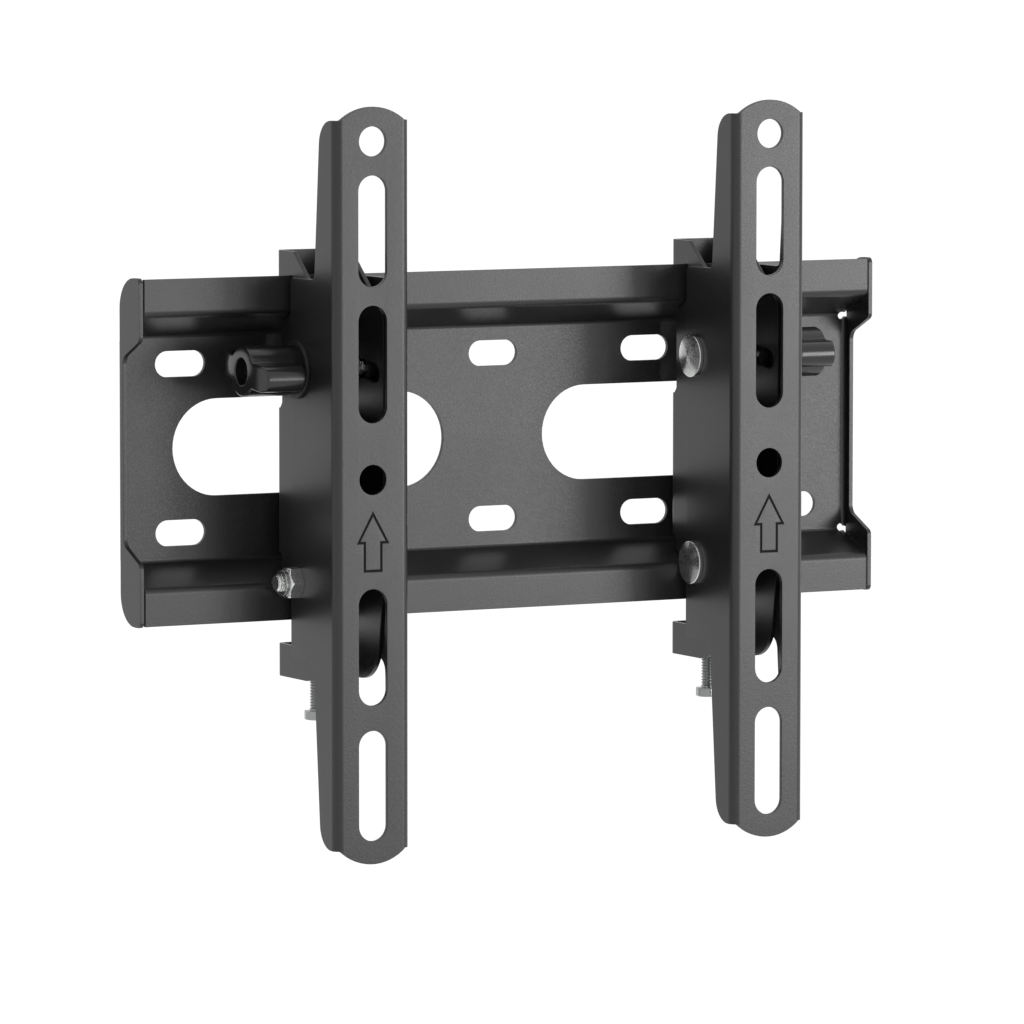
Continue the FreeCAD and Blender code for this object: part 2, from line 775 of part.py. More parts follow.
def shifted(shape, side):
    """A copy moved to the right arm (side 1) or the left arm (side -1), not turned."""
    placed = shape.copy()
    placed.translate(vec(arm_middle_x + side * arm_spacing / 2, 0, 0))
    return placed


def mirrored(shape):
    """A mirrored copy at the left arm, with its outer side towards -X."""
    return shifted(shape.mirror(vec(0, 0, 0), vec(1, 0, 0)), -1)


def main():
    os.makedirs("parts", exist_ok=True)
    save("wall_plate", make_wall_plate())
    pieces = {
        "tv_arm": make_arm(),
        "tilt_bolt": make_dome_bolt(knob_z, tilt_bolt_reach),
        "pivot_bolt": make_dome_bolt(pivot_z, pivot_bolt_reach),
        "pivot_nut": make_pivot_nut(),
        "nut_ring": make_nut_ring(),
        "knob_washer": make_knob_washer(),
        "knob_nut": make_knob_nut(),
        "lock_screw": make_lock_screw(),
    }
    for name, shape in pieces.items():
        save("right_" + name, shifted(shape, 1))
        save("left_" + name, mirrored(shape))
    alike = {
        "hook_bracket": make_hook_bracket(),
        "pivot_spacer": make_spacer(pivot_z),
        "tilt_spacer": make_spacer(knob_z),
    }
    for name, shape in alike.items():
        save("right_" + name, shifted(shape, 1))
        save("left_" + name, shifted(shape, -1))
    save("right_knob", shifted(make_knob(right_knob_turn), 1))
    save("left_knob", mirrored(make_knob(left_knob_turn)))


main()
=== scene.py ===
# %% [markdown]
# # A tilting wall bracket for a television
# The bracket is bent from steel sheet and coated with black powder. The CAD model gives us the
# sheet parts, which only need soft edges and a finish. The small turned and moulded parts are
# worked out here: bolts and screws with real threads, and the two hand knobs.

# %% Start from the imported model
import math

import bpy
import numpy as np
from mathutils import Matrix, Vector


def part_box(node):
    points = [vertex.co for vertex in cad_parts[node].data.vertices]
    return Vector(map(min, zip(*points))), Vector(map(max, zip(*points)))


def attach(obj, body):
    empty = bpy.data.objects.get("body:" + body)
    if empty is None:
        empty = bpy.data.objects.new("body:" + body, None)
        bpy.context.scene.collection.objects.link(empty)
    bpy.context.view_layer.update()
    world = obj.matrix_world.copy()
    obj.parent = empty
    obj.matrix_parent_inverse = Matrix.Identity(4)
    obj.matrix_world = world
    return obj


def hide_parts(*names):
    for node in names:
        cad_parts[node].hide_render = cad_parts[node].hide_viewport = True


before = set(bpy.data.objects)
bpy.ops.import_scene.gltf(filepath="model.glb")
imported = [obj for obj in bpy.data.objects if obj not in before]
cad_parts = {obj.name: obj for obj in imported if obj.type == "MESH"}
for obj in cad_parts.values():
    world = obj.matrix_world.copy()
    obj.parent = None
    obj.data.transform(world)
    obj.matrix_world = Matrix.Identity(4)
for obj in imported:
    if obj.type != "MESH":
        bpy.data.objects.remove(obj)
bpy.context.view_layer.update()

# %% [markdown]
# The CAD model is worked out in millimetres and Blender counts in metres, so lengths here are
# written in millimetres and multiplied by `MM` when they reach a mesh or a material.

MM = 0.001

# %% [markdown]
# ## Shapes that are wrapped round a line
# A bolt, a screw and a knob all have a middle line. Each can be described by rings: for every
# ring we say how far along the line it is, and how far out it reaches in every direction.
# A thread is then only a small wave in the radius, and a hexagon is a radius that changes with
# the angle. This is why one helper is enough for all the fasteners.

# %% A surface made of rings
def ring_surface(name, along, radius, angle, place, tube=False):
    """Wraps rings round a line and makes a closed mesh object.

    along, radius and angle are arrays of (rings, points) in millimetres and radians. A point
    lies `along` the line, and `radius` out from it towards `angle`. place is (origin, along
    direction, side direction, up direction). A tube joins its last ring to its first;
    otherwise each end is closed by a fan round its middle.
    """
    along, radius, angle = np.broadcast_arrays(along, radius, angle)
    rings, points = radius.shape
    origin, ahead, side, up = (np.array(v, float) for v in place)
    shape = (
        along[..., None] * ahead
        + (radius * np.sin(angle))[..., None] * side
        + (radius * np.cos(angle))[..., None] * up
    )
    verts = shape.reshape(-1, 3)
    ring = np.arange(rings if tube else rings - 1)[:, None]
    step = np.arange(points)[None, :]
    following = (ring + 1) % rings
    beside = (step + 1) % points
    quads = np.stack(
        [ring * points + step, ring * points + beside,
         following * points + beside, following * points + step], axis=-1).reshape(-1, 4)
    fans = np.empty((0, 3), int)
    if not tube:
        first_middle, last_middle = len(verts), len(verts) + 1
        verts = np.vstack([verts, shape[0].mean(0), shape[-1].mean(0)])
        turn = np.arange(points)
        next_turn = (turn + 1) % points
        last_ring = (rings - 1) * points
        fans = np.vstack([
            np.stack([next_turn, turn, np.full(points, first_middle)], -1),
            np.stack([last_ring + turn, last_ring + next_turn,
                      np.full(points, last_middle)], -1)])
    # The signed volume tells whether the faces point outwards. If not, all of them are flipped.
    corner = verts[quads]
    volume = np.einsum("ij,ij->i", corner[:, 0], np.cross(corner[:, 1], corner[:, 2])).sum()
    if volume < 0:
        quads, fans = quads[:, ::-1], fans[:, ::-1]
    mesh = bpy.data.meshes.new(name)
    mesh.from_pydata((verts * MM + origin).tolist(), [], quads.tolist() + fans.tolist())
    mesh.validate()
    mesh.shade_smooth()
    made = bpy.data.objects.new(name, mesh)
    bpy.context.scene.collection.objects.link(made)
    print(name, len(mesh.vertices), "points", len(mesh.polygons), "faces")
    return made


def turns(count):
    """Angles that go once round, as one row."""
    return np.linspace(0, 2 * np.pi, count, endpoint=False)[None, :]


def smooth_by_angle(made, degrees):
    """Marks edges sharper than this angle, so that only real corners shade as corners."""
    made.data.set_sharp_from_angle(angle=math.radians(degrees))


print("8 steps round, in degrees:", np.degrees(turns(8)[0]).tolist())

# %% [markdown]
# ## Threads, hexagons and square necks
# A metric thread is a ridge with a 60 degree profile, wound round the shank. On a grid of rings
# it is a wave that moves one pitch along for each turn round. A hexagon with its corners turned
# off is the smaller of two radii: the flat's distance divided by the cosine of the angle from
# the flat's middle, and a cone.

# %% Radius formulas
groove_floor = 0.2
groove_side = 0.62


def thread_radius(along, angle, outer, pitch, depth, start, end, run_out):
    """Outer radius less a V groove that moves one pitch per turn and fades out at both ends.

    Across one pitch the groove's flat floor takes the share groove_floor, and its two slanted
    sides the share groove_side. What is left is the ridge's flat top.
    """
    phase = (along / pitch - angle / (2 * np.pi)) % 1.0
    ridge = np.clip((np.abs(2 * phase - 1) - groove_floor) / groove_side, 0, 1)
    fade = np.clip((along - start) / run_out, 0, 1) * np.clip((end - along) / run_out, 0, 1)
    return outer - depth * (1 - ridge) * fade


def polygon_radius(angle, sides, inner, softness):
    """Distance to the flat over the cosine of the angle from its middle, with eased corners.

    The corner is eased by a soft minimum of that distance and the corner's own radius less
    `softness`: the logarithm of one plus an exponential bends from one to the other.
    """
    sector = 2 * np.pi / sides
    off = (angle + sector / 2) % sector - sector / 2
    sharp = inner / np.cos(off)
    corner = inner / math.cos(sector / 2)
    eased = softness * np.log1p(np.exp((corner - softness - sharp) / softness))
    return corner - softness - eased + softness * math.log(2)


print("hexagon, 13 mm across: from",
      round(float(polygon_radius(0.0, 6, 6.5, 0.1)), 2), "at a flat to",
      round(float(polygon_radius(np.pi / 6, 6, 6.5, 0.1)), 2), "mm at a corner")

# %% [markdown]
# The left and right arm carry the same pieces, as mirror images. So a bolt or a knob is drawn
# once, with its line running outwards, and the side's sign turns it round.

# %% Directions for pieces on each arm
SIDES = {"left": -1, "right": 1}


def outward(side, origin):
    """Origin in metres, then outward along X, with the other two turned with it."""
    sign = SIDES[side]
    return origin, (sign, 0, 0), (0, sign, 0), (0, 0, 1)


def upward(origin):
    """Origin in metres, then up along Z."""
    return origin, (0, 0, 1), (1, 0, 0), (0, 1, 0)


for side in SIDES:
    print(side, "pieces point along", outward(side, (0, 0, 0))[1])

# %% [markdown]
# ## Bolts with low round heads
# Each arm turns on one of these and is held by another. The head is a shallow dome that sits on
# the inner flange, the square neck under it stops the bolt from turning, and the rest is
# threaded. The dome is part of a large sphere, and its rim is rounded by half a millimetre.

# %% Make the four bolts
dome_radius = 9.7
dome_rim = 1.8
dome_height = 3.3
rim_round = 0.5
under_chamfer = 0.15
pole_radius = 0.15
neck_half = 4.0
neck_length = 2.1
neck_to_shank = 0.3
neck_corner = 1.3
bolt_radius = 4.0
bolt_pitch = 1.25
bolt_groove = 0.72
plain_shank = 3.0
bolt_run_out = 1.5
bolt_tip = 0.8
past_the_end = 2.0


def dome_rings():
    """Rings of the head: sphere cap, rounded rim, straight rim, flat underside.

    The sphere's radius is (rim radius squared plus cap height squared) over twice the cap height.
    """
    cap = dome_height - dome_rim
    sphere = (dome_radius ** 2 + cap ** 2) / (2 * cap)
    out = np.linspace(pole_radius, dome_radius - rim_round, 14)
    lift = sphere - np.sqrt(sphere ** 2 - out ** 2)
    bend = np.linspace(0.35, np.pi / 2, 6)
    edge_out = dome_radius - rim_round + rim_round * np.sin(bend)
    edge_lift = lift[-1] + rim_round * (1 - np.cos(bend))
    rim_along = [edge_lift[-1] + 0.5, dome_height - under_chamfer, dome_height]
    rim_out = [dome_radius, dome_radius, dome_radius - under_chamfer]
    under_out = [dome_radius - 1.5, neck_half * 1.6]
    along = np.concatenate([lift, edge_lift, rim_along, [dome_height] * 2])
    radius = np.concatenate([out, edge_out, rim_out, under_out])
    return along, radius


def bolt(name, side, node):
    """Head, square neck and threaded shank in one ring surface, as long as the CAD bolt."""
    low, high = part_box(node)
    head_x = low.x if side == "right" else high.x
    origin = (head_x, (low.y + high.y) / 2, (low.z + high.z) / 2)
    length = (high.x - low.x) / MM
    angle = turns(72)
    head_along, head_radius = dome_rings()
    neck_end = dome_height + neck_length
    neck_along = np.array([dome_height, neck_end, neck_end + neck_to_shank])
    square = np.minimum(polygon_radius(angle, 4, neck_half, 0.12), neck_half * neck_corner)
    neck = np.vstack([square, square, np.full_like(square, bolt_radius)])
    shank_along = np.arange(neck_along[-1] + neck_to_shank, length - 0.02, bolt_pitch / 11)
    wound = thread_radius(shank_along[:, None], angle, bolt_radius, bolt_pitch, bolt_groove,
                          neck_along[-1] + plain_shank, length + past_the_end, bolt_run_out)
    taper = bolt_radius - np.clip(shank_along[:, None] - (length - bolt_tip), 0, None)
    shank = np.minimum(wound, taper)
    end_along = np.full(3, length)
    end = np.repeat([[bolt_radius - bolt_tip], [2.4], [0.2]], angle.shape[1], axis=1)
    along = np.concatenate([head_along, neck_along, shank_along, end_along])[:, None]
    radius = np.vstack([np.repeat(head_radius[:, None], angle.shape[1], axis=1), neck, shank, end])
    made = ring_surface(name, along, radius, angle, outward(side, origin))
    smooth_by_angle(made, 38)
    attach(made, side + "_arm")
    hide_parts(node)
    return made


BOLT_KINDS = ("pivot_bolt", "tilt_bolt")
bolts = [(bolt(side + "_" + kind + "_threaded", side, side + "_" + kind), kind)
         for side in SIDES for kind in BOLT_KINDS]

# %% [markdown]
# ## Lock screws
# A six-sided screw under each foot goes up behind the bottom rail, so that nobody can lift the
# television off. Its thread is open to view below the foot. The head's lower corners are turned
# off by a cone, which leaves the arcs that every hexagon head has.

# %% Make the two lock screws
screw_radius = 3.0
screw_pitch = 1.3
screw_groove = 0.6
head_flat = 5.0
head_height = 4.0
head_turn = math.radians(12)
cone_reach = 0.3
cone_slope = 0.55
screw_plain = 0.4
screw_run_out = 1.0
screw_tip = 0.9


def lock_screw(side):
    """Hexagon head with turned corners, then a threaded shank with a tapered tip."""
    node = side + "_lock_screw"
    low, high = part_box(node)
    origin = ((low.x + high.x) / 2, (low.y + high.y) / 2, low.z)
    length = (high.z - low.z) / MM
    angle = turns(96)
    flat = polygon_radius(angle + head_turn, 6, head_flat, 0.1)
    rings = [(0.0, np.full_like(flat, 0.2)), (0.0, np.full_like(flat, head_flat - 0.9)),
             (0.0, np.full_like(flat, head_flat - 0.35))]
    cone = np.clip((flat - head_flat + cone_reach) * cone_slope, 0, None)
    rings.append((cone, flat))
    rings += [(np.maximum(cone, share * head_height), flat) for share in (0.35, 0.6, 0.9)]
    rings.append((np.full_like(flat, head_height), flat - 0.15))
    rings.append((np.full_like(flat, head_height), np.full_like(flat, screw_radius + 0.3)))
    head_along = np.vstack([np.broadcast_to(a, flat.shape) for a, r in rings])
    head_radius = np.vstack([r for a, r in rings])
    shank_along = np.arange(head_height + 0.1, length - 0.02, screw_pitch / 12)
    wound = thread_radius(shank_along[:, None], angle, screw_radius, screw_pitch, screw_groove,
                          head_height + screw_plain, length + past_the_end, screw_run_out)
    taper = screw_radius - np.clip(shank_along[:, None] - (length - screw_tip), 0, None)
    end = np.repeat([[screw_radius - screw_tip], [0.2]], angle.shape[1], axis=1)
    along = np.vstack([head_along, np.repeat(shank_along[:, None], angle.shape[1], axis=1),
                       np.full_like(end, length)])
    radius = np.vstack([head_radius, np.minimum(wound, taper), end])
    made = ring_surface(side + "_lock_screw_threaded", along, radius, angle, upward(origin))
    smooth_by_angle(made, 38)
    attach(made, side + "_lock")
    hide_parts(node)
    return made


screws = [lock_screw(side) for side in SIDES]

# %% [markdown]
# ## Hand knobs
# The knob is one moulding: a round hub, and a wing on each side for the fingers. Its end view is
# drawn from arcs, and every other ring of the surface is that outline moved inwards along its
# own normals, or drawn in towards the bore. So the rounded edges keep one radius all the way
# round, as they do when a mould is cut with a round tool.

# %% End view of the knob
hub_radius = 11.2
hub_step = 0.3
wing_radius = 5.8
wing_offset = 16.1
root_round = 2.5
edge_round = 1.0
wing_start = 6.0
knob_face = 1.65
knob_end = 27.3
crown_flat = 8.0
crown_drop = 2.6
bore_radius = 6.0
base_round = 0.4
wing_blend = 1.2
knob_turn = {"left": math.radians(-9.0), "right": 0.0}


def quarter_outline(fine):
    """Points and outward normals from a wing's tip to the hub's side: arc, line, root, arc."""
    root_v = wing_radius + root_round
    reach = hub_radius + root_round
    root_u = math.sqrt(reach ** 2 - root_v ** 2)
    touch = math.atan2(root_v, root_u)

    def arc(u, v, radius, start, end, count, inside=1):
        way = np.linspace(start, end, count)
        spot = np.stack([u + radius * np.cos(way), v + radius * np.sin(way)], -1)
        return spot, inside * np.stack([np.cos(way), np.sin(way)], -1)

    tip = arc(wing_offset, 0, wing_radius, 0, math.pi / 2, 8 * fine)
    run = np.linspace(wing_offset, root_u, 4 * fine)[1:-1]
    line = (np.stack([run, np.full_like(run, wing_radius)], -1),
            np.repeat([[0.0, 1.0]], len(run), axis=0))
    root = arc(root_u, root_v, root_round, -math.pi / 2, touch - math.pi, 5 * fine, -1)
    hub = arc(0, 0, hub_radius, touch, math.pi / 2, 6 * fine)
    parts = [tip, line, root, (hub[0][1:], hub[1][1:])]
    return np.vstack([p[0] for p in parts]), np.vstack([p[1] for p in parts])


def knob_outline(fine):
    """The quarter, its mirror image, and both again turned by half a turn."""
    spot, normal = quarter_outline(fine)
    flip = np.array([-1.0, 1.0])
    half = np.vstack([spot, spot[-2::-1] * flip])
    half_normal = np.vstack([normal, normal[-2::-1] * flip])
    return np.vstack([half[:-1], -half[:-1]]), np.vstack([half_normal[:-1], -half_normal[:-1]])


def crown(reach):
    """Height of the end face: flat in the middle, then falling with the square of the reach."""
    rim = wing_offset + wing_radius + 1.0
    return knob_end - crown_drop * np.clip((reach - crown_flat) / (rim - crown_flat), 0, 1) ** 2


print("knob outline:", len(knob_outline(3)[0]), "points,",
      2 * (wing_offset + wing_radius), "mm from tip to tip")

# %% [markdown]
# Now the outline is carried along the knob's line. The hub starts at the arm, the wings start a
# little further out, and the end face is slightly crowned. Each step adds one ring to a list,
# and the last ring meets the first inside the bore, so the moulding is a closed tube.

# %% Carry the outline along the knob
def hand_knob(side):
    """Closed tube of rings: base, hub, wings' underside, side, rounded edge, crown and bore."""
    node = side + "_knob"
    low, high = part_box(node)
    bolt_low, bolt_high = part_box(side + "_tilt_bolt")
    sign = SIDES[side]
    arm_face = (high.x if side == "right" else low.x) - sign * knob_end * MM
    origin = (arm_face, (bolt_low.y + bolt_high.y) / 2, (bolt_low.z + bolt_high.z) / 2)
    outline, normal = knob_outline(3)
    reach = np.hypot(outline[:, 0], outline[:, 1])
    way = outline / reach[:, None]
    rings = []

    def add(spot, along):
        rings.append((spot, np.broadcast_to(along, reach.shape)))

    lower_hub = hub_radius - hub_step
    for radius, along in ((bore_radius + 0.3, knob_face), (bore_radius + 2, knob_face),
                          (lower_hub - base_round, knob_face),
                          (lower_hub - 0.3 * base_round, knob_face + 0.3 * base_round),
                          (lower_hub, knob_face + base_round),
                          (lower_hub, wing_start - base_round),
                          (lower_hub + 0.1, wing_start - 0.08)):
        add(way * radius, along)
    under = outline - normal * edge_round
    start = way * (lower_hub + 0.25)
    past_hub = np.hypot(under[:, 0], under[:, 1]) - lower_hub - 0.2
    outside = np.clip(past_hub / wing_blend, 0, 1)[:, None]
    for share in (0.05, 0.35, 0.7, 1.0):
        add(start + (under - start) * share * outside + (outline - normal * 0.03 - start)
            * share * (1 - outside), wing_start)
    for bend in np.linspace(0.2, np.pi / 2, 6):
        pull = edge_round * (1 - np.sin(bend)) * outside
        add(outline - normal * pull, wing_start + edge_round * (1 - np.cos(bend)))
    top = crown(reach)
    for share in np.linspace(0.06, 1, 12):
        add(outline, wing_start + edge_round + (top - 2 * edge_round - wing_start) * share)
    for bend in np.linspace(0.15, np.pi / 2, 8):
        spot = outline - normal * edge_round * (1 - np.cos(bend))
        add(spot, top - edge_round + edge_round * np.sin(bend))
    inner = outline - normal * edge_round
    rim = way * (bore_radius + 0.35)
    for share in np.linspace(0.06, 1, 14):
        spot = inner + (rim - inner) * share
        height = crown(np.hypot(spot[:, 0], spot[:, 1]))
        lift = top - crown(np.hypot(inner[:, 0], inner[:, 1]))
        add(spot, height + lift * (1 - share) ** 3)
    for radius, drop in ((bore_radius + 0.1, 0.1), (bore_radius, 0.35)):
        add(way * radius, knob_end - drop)
    for share in np.linspace(0.02, 1, 10):
        add(way * bore_radius, knob_end - (knob_end - knob_face) * share)
    spots = np.stack([spot for spot, along in rings])
    along = np.stack([a for spot, a in rings])
    radius = np.hypot(spots[..., 0], spots[..., 1])
    # The CAD model measures a turn from the wall side, seen from the knob's own end.
    angle = -np.arctan2(spots[..., 1], spots[..., 0]) - np.pi / 2 + sign * knob_turn[side]
    made = ring_surface(side + "_knob_moulding", along, radius, angle,
                        outward(side, origin), tube=True)
    smooth_by_angle(made, 50)
    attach(made, side + "_hand_knob")
    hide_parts(node)
    return made


knobs = [hand_knob(side) for side in SIDES]

# %% [markdown]
# ## Node groups for the finishes
# Powder coat looks like very fine orange peel with a slight speckle. Zinc plating is bright with
# cloudy patches. Moulded plastic has a fine spark texture. Each effect is a group with named
# inputs, so every material can set its own amounts.

# %% A helper that builds a group from a list of sockets
def node_group(name, inputs, outputs):
    """A shader group with named sockets: colours are 'NodeSocketColor', numbers are floats."""
    group = bpy.data.node_groups.new(name, "ShaderNodeTree")
    for label, kind, value in inputs:
        made = group.interface.new_socket(label, in_out="INPUT", socket_type=kind)
        made.default_value = value
    for label, kind in outputs:
        group.interface.new_socket(label, in_out="OUTPUT", socket_type=kind)
    return group, group.nodes.new("NodeGroupInput"), group.nodes.new("NodeGroupOutput")


def math_node(group, operation, first, second=0.0, clamp=False):
    """One Math node whose inputs are numbers or other nodes' outputs."""
    node = group.nodes.new("ShaderNodeMath")
    node.operation = operation
    node.use_clamp = clamp
    for socket, value in zip(node.inputs, (first, second)):
        if isinstance(value, (int, float)):
            socket.default_value = value
        else:
            group.links.new(value, socket)
    return node.outputs[0]


def noise(group, place, scale, detail):
    """Noise between 0 and 1 at `place`. The socket `scale` gives its waves per metre."""
    node = group.nodes.new("ShaderNodeTexNoise")
    node.inputs["Detail"].default_value = detail
    node.inputs["Roughness"].default_value = 0.55
    group.links.new(place, node.inputs["Vector"])
    group.links.new(scale, node.inputs["Scale"])
    return node.outputs["Fac"]


COLOUR = "NodeSocketColor"
NUMBER = "NodeSocketFloat"
VECTOR = "NodeSocketVector"
print("sockets for colours, numbers and directions:", COLOUR, NUMBER, VECTOR)

# %% [markdown]
# The mottled coat takes three noises from one place. The largest makes soft clouds in the colour
# and the roughness, the finest is a speckle in both, and the third lifts the surface as a grain.
# On a dark coat most of the light is reflected at the surface, so the speckle in the roughness
# shows more than the speckle in the colour.

# %% Mottled coat: colour clouds, speckle, roughness and a fine bump
mottled, enter, leave = node_group(
    "mottled_coat",
    [("Colour", COLOUR, (0.08, 0.08, 0.08, 1)), ("Roughness", NUMBER, 0.45),
     ("Grain Size", NUMBER, 0.0006), ("Grain Depth", NUMBER, 0.00002),
     ("Cloud Size", NUMBER, 0.03), ("Cloud Amount", NUMBER, 0.1),
     ("Speckle Amount", NUMBER, 0.2), ("Roughness Change", NUMBER, 0.08),
     ("Roughness Speckle", NUMBER, 0.0)],
    [("Colour", COLOUR), ("Roughness", NUMBER), ("Normal", VECTOR)])
spot = mottled.nodes.new("ShaderNodeTexCoord").outputs["Object"]
grain_scale = math_node(mottled, "DIVIDE", 1.0, enter.outputs["Grain Size"])
cloud_scale = math_node(mottled, "DIVIDE", 1.0, enter.outputs["Cloud Size"])
grain = noise(mottled, spot, grain_scale, 2.0)
cloud = noise(mottled, spot, cloud_scale, 3.0)
speck_scale = math_node(mottled, "MULTIPLY", grain_scale, 1.7)
speck = noise(mottled, spot, speck_scale, 1.0)
cloud_shift = math_node(mottled, "MULTIPLY",
                        math_node(mottled, "SUBTRACT", cloud, 0.5), enter.outputs["Cloud Amount"])
speck_shift = math_node(mottled, "MULTIPLY",
                        math_node(mottled, "SUBTRACT", speck, 0.5), enter.outputs["Speckle Amount"])
strength = math_node(mottled, "ADD", math_node(mottled, "ADD", cloud_shift, speck_shift), 1.0)
scaled = mottled.nodes.new("ShaderNodeVectorMath")
scaled.operation = "SCALE"
mottled.links.new(enter.outputs["Colour"], scaled.inputs[0])
mottled.links.new(strength, scaled.inputs["Scale"])
mottled.links.new(scaled.outputs[0], leave.inputs["Colour"])
rough_cloud = math_node(mottled, "MULTIPLY",
                        math_node(mottled, "SUBTRACT", cloud, 0.5),
                        enter.outputs["Roughness Change"])
rough_speck = math_node(mottled, "MULTIPLY",
                        math_node(mottled, "SUBTRACT", speck, 0.5),
                        enter.outputs["Roughness Speckle"])
rough_shift = math_node(mottled, "ADD", rough_cloud, rough_speck)
rough = math_node(mottled, "ADD", enter.outputs["Roughness"], rough_shift, clamp=True)
mottled.links.new(rough, leave.inputs["Roughness"])
bump = mottled.nodes.new("ShaderNodeBump")
bump.inputs["Strength"].default_value = 1.0
mottled.links.new(grain, bump.inputs["Height"])
mottled.links.new(enter.outputs["Grain Depth"], bump.inputs["Distance"])
mottled.links.new(bump.outputs["Normal"], leave.inputs["Normal"])
print("mottled coat:", len(mottled.nodes), "nodes and the inputs",
      [socket.name for socket in enter.outputs if socket.name])

# %% [markdown]
# A material places the group and sets its own amounts. The shader stays in the material. What is
# the same all over, such as how metallic it is, is written on the shader's own sockets.

# %% Materials from the group
def coat_material(name, values, shader_values):
    """A Principled surface whose colour, roughness and normal come from the mottled coat."""
    material = bpy.data.materials.new(name)
    material.use_nodes = True
    tree = material.node_tree
    shader = tree.nodes["Principled BSDF"]
    coat = tree.nodes.new("ShaderNodeGroup")
    coat.node_tree = mottled
    for label, value in values.items():
        coat.inputs[label].default_value = value
    tree.links.new(coat.outputs["Colour"], shader.inputs["Base Color"])
    tree.links.new(coat.outputs["Roughness"], shader.inputs["Roughness"])
    tree.links.new(coat.outputs["Normal"], shader.inputs["Normal"])
    for label, value in shader_values.items():
        shader.inputs[label].default_value = value
    return material


powder_look = {
    "Colour": (0.017, 0.0175, 0.017, 1), "Roughness": 0.36, "Grain Size": 0.001,
    "Grain Depth": 0.00004, "Cloud Size": 0.05, "Cloud Amount": 0.12,
    "Speckle Amount": 1.1, "Roughness Change": 0.08, "Roughness Speckle": 0.22}
black_coat = coat_material("black_powder_coat", powder_look, {})
zinc_look = {
    "Colour": (0.62, 0.63, 0.62, 1), "Roughness": 0.27, "Grain Size": 0.0025,
    "Grain Depth": 0.00005, "Cloud Size": 0.004, "Cloud Amount": 0.25,
    "Speckle Amount": 0.12, "Roughness Change": 0.15}
zinc = coat_material("zinc_plating", zinc_look, {"Metallic": 1.0})
grey_steel = coat_material(
    "grey_plated_steel",
    {"Colour": (0.3, 0.31, 0.31, 1), "Roughness": 0.34, "Grain Size": 0.0015,
     "Grain Depth": 0.00003, "Cloud Size": 0.004, "Cloud Amount": 0.3,
     "Speckle Amount": 0.3, "Roughness Change": 0.15},
    {"Metallic": 1.0})
black_plastic = coat_material(
    "black_moulded_plastic",
    {"Colour": (0.012, 0.012, 0.013, 1), "Roughness": 0.22, "Grain Size": 0.0004,
     "Grain Depth": 0.000004, "Cloud Size": 0.01, "Cloud Amount": 0.15,
     "Speckle Amount": 0.25, "Roughness Change": 0.08},
    {})
washer_plastic = coat_material(
    "dark_washer_plastic",
    {"Colour": (0.02, 0.02, 0.02, 1), "Roughness": 0.5, "Grain Size": 0.0004,
     "Grain Depth": 0.00001, "Cloud Size": 0.006, "Cloud Amount": 0.2,
     "Speckle Amount": 0.3, "Roughness Change": 0.1},
    {})
white_nylon = coat_material(
    "white_nylon",
    {"Colour": (0.66, 0.66, 0.62, 1), "Roughness": 0.42, "Grain Size": 0.0005,
     "Grain Depth": 0.00001, "Cloud Size": 0.003, "Cloud Amount": 0.15,
     "Speckle Amount": 0.1, "Roughness Change": 0.1},
    {"Subsurface Weight": 0.1})
print("materials:", [material.name for material in bpy.data.materials])

# %% [markdown]
# ## Pressed arrow, with painted shade in its line
# The arrow on each arm is pressed in before the coating. The bottom of the pressed line is given
# painted shade: its colour is made near black and matte, in place of the shade that falls into so
# narrow a groove, and the arrow can be read from afar. The line is found by its place: behind the
# arm's front face, inside a box round the arrow.

# %% A group that paints shade into the pressed line
arrow_half = 8.0 * MM
arrow_low, arrow_high = -53.0 * MM, -24.5 * MM
line_top, line_floor = 0.12 * MM, 0.8 * MM
# Line Colour is painted shade: the near black that stands for the shade at the groove's bottom.
pressed, press_in, press_out = node_group(
    "pressed_line",
    [("Colour", COLOUR, (0.02, 0.02, 0.02, 1)), ("Roughness", NUMBER, 0.4),
     ("Line Colour", COLOUR, (0.003, 0.003, 0.003, 1)), ("Line Roughness", NUMBER, 0.95),
     ("Arm Middle", NUMBER, 0.0), ("Arm Front", NUMBER, 0.0)],
    [("Colour", COLOUR), ("Roughness", NUMBER)])
press_spot = pressed.nodes.new("ShaderNodeSeparateXYZ")
pressed.links.new(pressed.nodes.new("ShaderNodeTexCoord").outputs["Object"], press_spot.inputs[0])
across = math_node(pressed, "ABSOLUTE", math_node(
    pressed, "SUBTRACT", press_spot.outputs["X"], press_in.outputs["Arm Middle"]))
depth = math_node(pressed, "SUBTRACT", press_spot.outputs["Y"], press_in.outputs["Arm Front"])
inside = math_node(pressed, "LESS_THAN", across, arrow_half)
for operation, value, limit in (
        ("GREATER_THAN", press_spot.outputs["Z"], arrow_low),
        ("LESS_THAN", press_spot.outputs["Z"], arrow_high),
        ("GREATER_THAN", depth, line_top), ("LESS_THAN", depth, line_floor)):
    test = math_node(pressed, operation, value, limit)
    inside = math_node(pressed, "MULTIPLY", inside, test)
# Where the mask is one, the coat's colour gives way to the painted shade of the line.
# A Mix node has its own two inputs and its own result for each kind of value, at these places.
MIX_PLACES = {"Colour": ("RGBA", 6, 7, 2), "Roughness": ("FLOAT", 2, 3, 0)}
for label, (kind, coat_place, line_place, result_place) in MIX_PLACES.items():
    blend = pressed.nodes.new("ShaderNodeMix")
    blend.data_type = kind
    pressed.links.new(inside, blend.inputs["Factor"])
    pressed.links.new(press_in.outputs[label], blend.inputs[coat_place])
    pressed.links.new(press_in.outputs["Line " + label], blend.inputs[line_place])
    pressed.links.new(blend.outputs[result_place], press_out.inputs[label])
print("pressed line: between", round(arrow_low / MM, 1), "and", round(arrow_high / MM, 1), "mm up")


